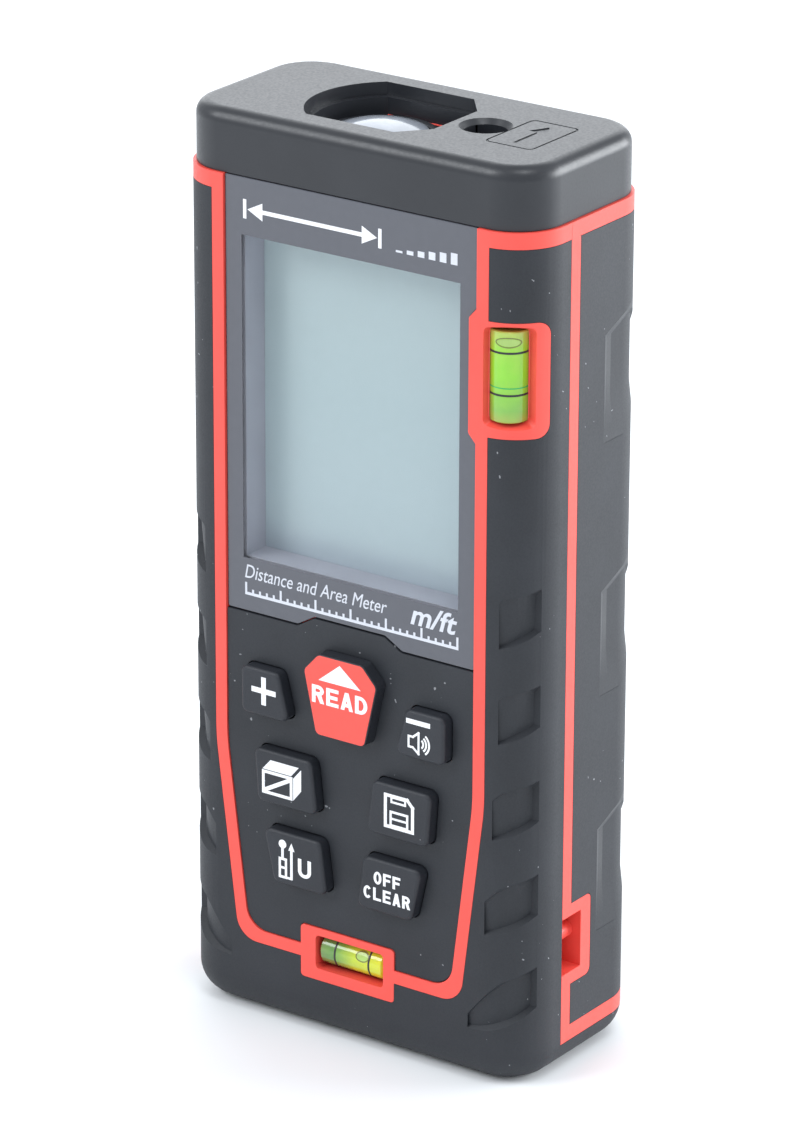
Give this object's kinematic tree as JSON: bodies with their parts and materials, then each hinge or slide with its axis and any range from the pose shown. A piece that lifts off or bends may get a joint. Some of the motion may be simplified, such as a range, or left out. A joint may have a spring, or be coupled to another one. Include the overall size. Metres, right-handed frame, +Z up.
{
  "type": "laser distance meter",
  "caption": "Handheld laser distance meter with a display, push keys, two spirit levels, a lens well in the top and a hinged battery door.",
  "frame": {"origin": "centre of the flat foot that the meter stands on", "axes": "+Z up along the height towards the optics, display and keys face -Y, +X to the right seen from the front"},
  "size_m": [0.05, 0.0271, 0.112],
  "materials": {
    "black_rubber": "matte, fine grain",
    "red_plastic": "satin moulded red-orange plastic",
    "black_plastic": "fine-grained moulded plastic",
    "display_window": "glossy printed window, clear over the display",
    "lcd_glass": "pale grey-green unlit display",
    "white_plastic": "satin",
    "connector_rubber": "matte",
    "circuit_board": "solder-masked board",
    "steel": "bright stamped steel",
    "chip_epoxy": "matte",
    "brass": "turned brass, satin",
    "lens_glass": "clear coated glass",
    "vial": "clear acrylic over yellow-green fluid",
    "cell_jacket": "glossy shrink sleeve"
  },
  "bodies": {
    "housing": {"front_boot": "black_rubber", "rear_grip": "black_rubber", "keypad_mat": "black_rubber", "front_housing": "red_plastic", "rear_housing": "red_plastic", "top_cap": "black_plastic", "rear_panel": "black_plastic", "display_bezel": "black_plastic", "optics_carrier": "black_plastic", "lens_ring": "black_plastic", "display_window": "display_window", "lcd_panel": "lcd_glass", "lcd_backlight": "white_plastic", "lcd_connector": "connector_rubber", "main_board": "circuit_board", "sensor_board": "circuit_board", "read_switch": "steel", "plus_switch": "steel", "minus_switch": "steel", "area_switch": "steel", "memory_switch": "steel", "unit_switch": "steel", "off_switch": "steel", "sensor_can": "steel", "battery_spring_a": "steel", "battery_spring_b": "steel", "contact_bridge": "steel", "contact_positive": "steel", "contact_negative": "steel", "housing_screw_1": "steel", "housing_screw_2": "steel", "housing_screw_3": "steel", "housing_screw_4": "steel", "processor_chip": "chip_epoxy", "buzzer": "chip_epoxy", "laser_module": "brass", "receiver_lens": "lens_glass", "laser_window": "lens_glass", "front_vial": "vial", "corner_vial": "vial", "battery_a": "cell_jacket", "battery_b": "cell_jacket"},
    "read_key": {"read_key": "black_rubber", "read_key_cap": "red_plastic"},
    "plus_key": {"plus_key": "black_rubber"},
    "minus_key": {"minus_key": "black_rubber"},
    "area_key": {"area_key": "black_rubber"},
    "memory_key": {"memory_key": "black_rubber"},
    "unit_key": {"unit_key": "black_rubber"},
    "off_key": {"off_key": "black_rubber"},
    "battery_door": {"battery_door": "black_plastic"},
    "door_latch": {"door_latch": "black_plastic"}
  },
  "joints": [
    {"name": "read_press", "type": "slide", "parent": "housing", "child": "read_key", "axis": [0, 1, 0], "range_m": [0, 0.0008], "stiffness_N_per_m": 2500},
    {"name": "plus_press", "type": "slide", "parent": "housing", "child": "plus_key", "axis": [0, 1, 0], "range_m": [0, 0.0008], "stiffness_N_per_m": 2500},
    {"name": "minus_press", "type": "slide", "parent": "housing", "child": "minus_key", "axis": [0, 1, 0], "range_m": [0, 0.0008], "stiffness_N_per_m": 2500},
    {"name": "area_press", "type": "slide", "parent": "housing", "child": "area_key", "axis": [0, 1, 0], "range_m": [0, 0.0008], "stiffness_N_per_m": 2500},
    {"name": "memory_press", "type": "slide", "parent": "housing", "child": "memory_key", "axis": [0, 1, 0], "range_m": [0, 0.0008], "stiffness_N_per_m": 2500},
    {"name": "unit_press", "type": "slide", "parent": "housing", "child": "unit_key", "axis": [0, 1, 0], "range_m": [0, 0.0008], "stiffness_N_per_m": 2500},
    {"name": "off_press", "type": "slide", "parent": "housing", "child": "off_key", "axis": [0, 1, 0], "range_m": [0, 0.0008], "stiffness_N_per_m": 2500},
    {"name": "battery_door_hinge", "type": "hinge", "parent": "housing", "child": "battery_door", "pos_m": [0, 0.012, 0.013], "axis": [-1, 0, 0], "range_deg": [0, 100]},
    {"name": "door_latch_slide", "type": "slide", "parent": "battery_door", "child": "door_latch", "axis": [0, 0, -1], "range_m": [0, 0.0012], "stiffness_N_per_m": 1500}
  ]
}
